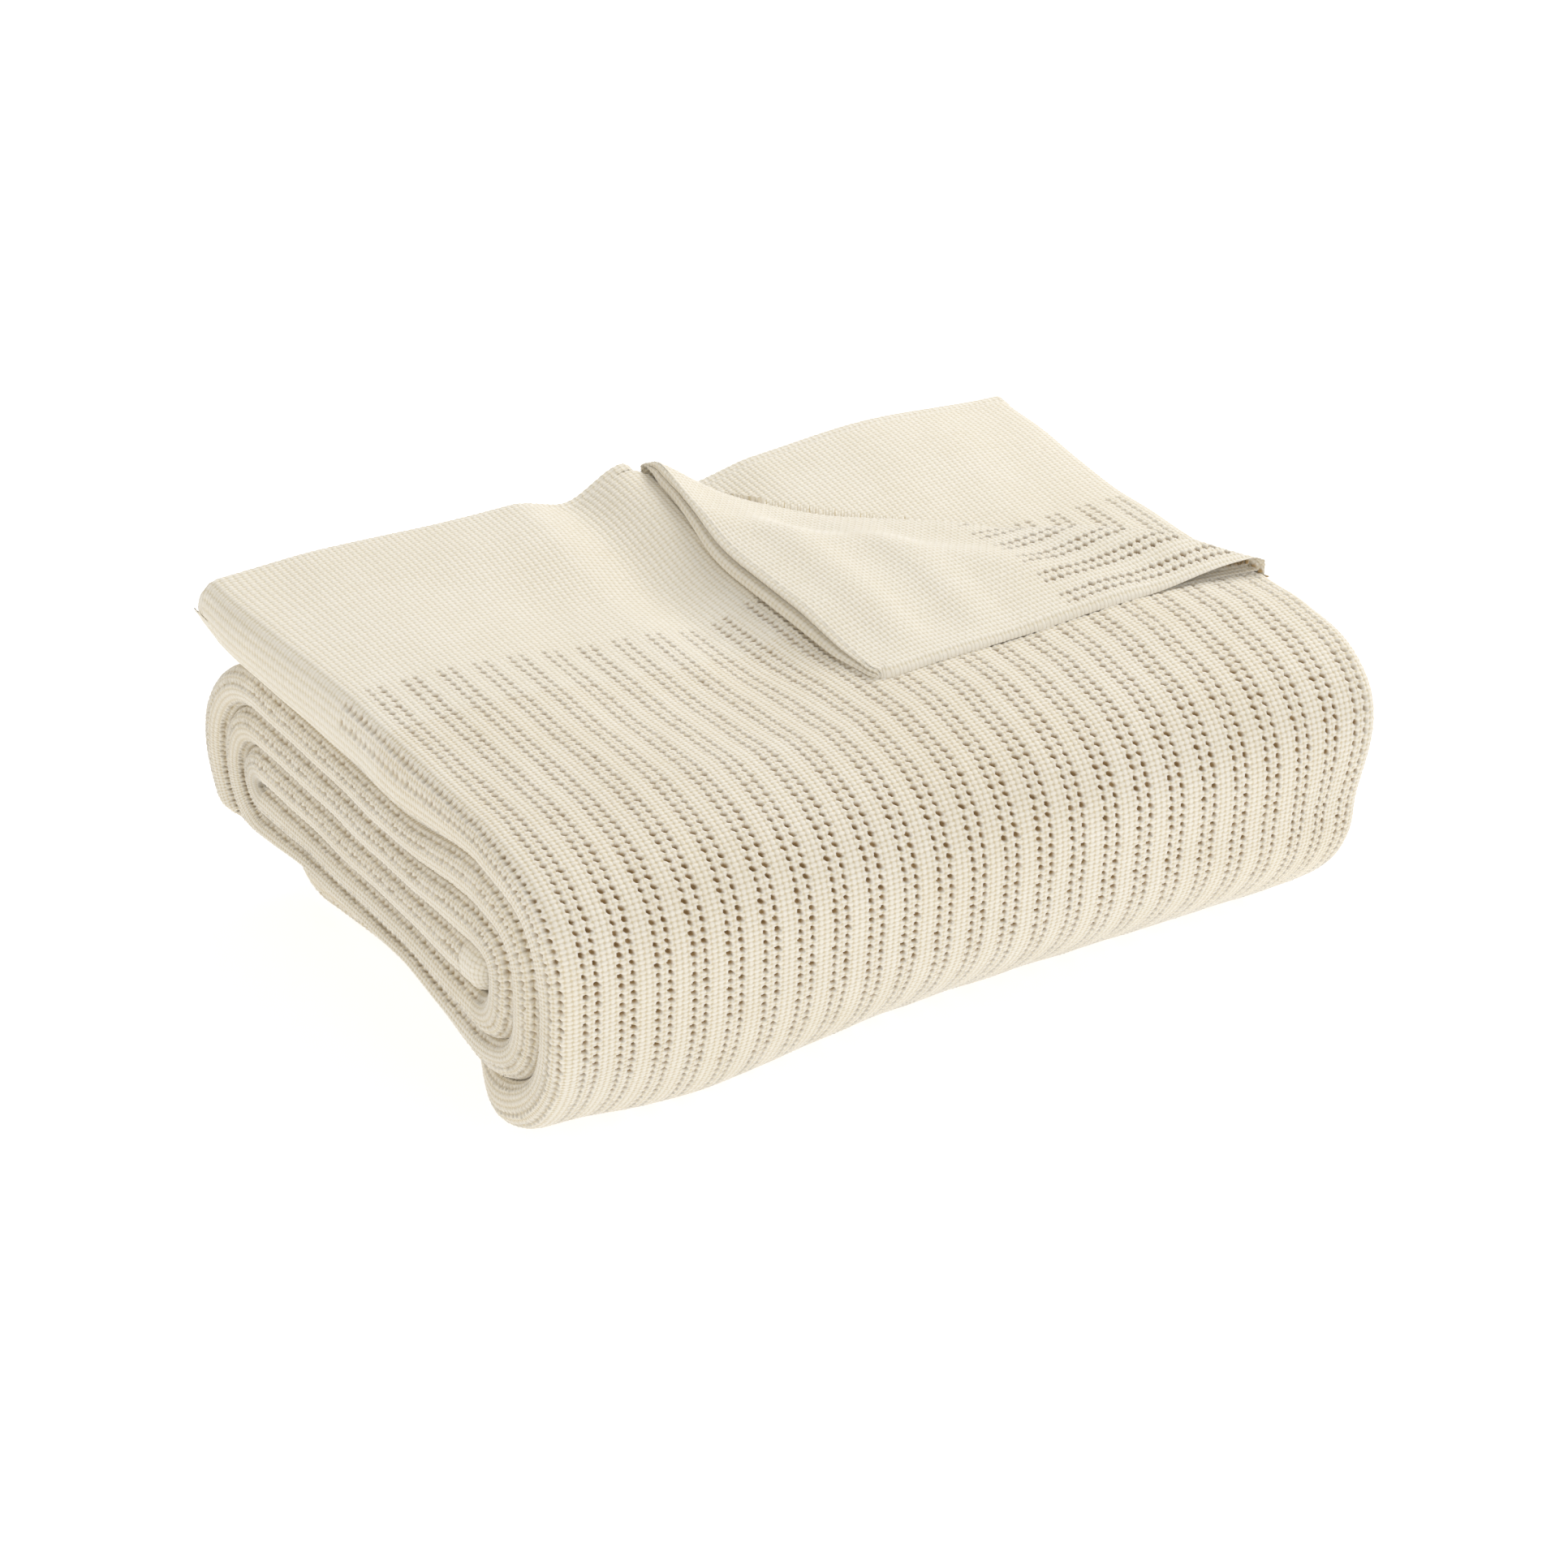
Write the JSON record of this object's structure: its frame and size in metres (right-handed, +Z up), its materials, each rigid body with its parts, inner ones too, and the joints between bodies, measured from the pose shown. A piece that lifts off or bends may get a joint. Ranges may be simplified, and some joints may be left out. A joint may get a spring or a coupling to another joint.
{
  "type": "folded throw blanket",
  "caption": "Cotton openwork throw blanket, folded in quarters and rolled flat, with one corner of its top leaf turned back",
  "frame": {"origin": "centre of the folded blanket's footprint, on the surface it rests on", "axes": "+X along the roll, from the crease end to the open end; -Y towards the rounded front of the roll; +Z up"},
  "size_m": [0.3174, 0.2547, 0.1296],
  "materials": {
    "openwork_cotton": "matt cream cotton, openwork weave with double columns of small holes between thick ribs",
    "plain_band_cotton": "matt cream cotton, dense plain weave",
    "hem_cotton": "matt cream cotton, plain weave turned over and stitched"
  },
  "bodies": {
    "roll": {"core_leaf": "plain_band_cotton", "inner_hem": "hem_cotton", "lower_inner_leaf": "openwork_cotton", "upper_inner_leaf": "openwork_cotton", "lower_middle_leaf": "openwork_cotton", "upper_middle_leaf": "openwork_cotton", "bottom_leaf": "openwork_cotton", "inner_back_bend": "openwork_cotton", "middle_back_bend": "openwork_cotton", "outer_back_bend": "openwork_cotton", "inner_front_bend": "openwork_cotton", "middle_front_bend": "openwork_cotton", "outer_front_bend": "openwork_cotton"},
    "top_leaf": {"lower_plies": "openwork_cotton", "lower_hem": "hem_cotton", "upper_plies": "plain_band_cotton", "upper_hem": "hem_cotton"},
    "corner": {"turned_corner": "plain_band_cotton", "corner_hem": "hem_cotton"}
  },
  "joints": [
    {"name": "top_leaf_lift", "type": "hinge", "parent": "roll", "child": "top_leaf", "pos_m": [0, -0.09557, 0.10474], "axis": [1, 0, 0], "range_deg": [0, 105]},
    {"name": "corner_unfold", "type": "hinge", "parent": "top_leaf", "child": "corner", "pos_m": [0.07938, 0.02, 0.11675], "axis": [-0.7101, 0.7023, 0.0498], "range_deg": [0, 178]}
  ]
}
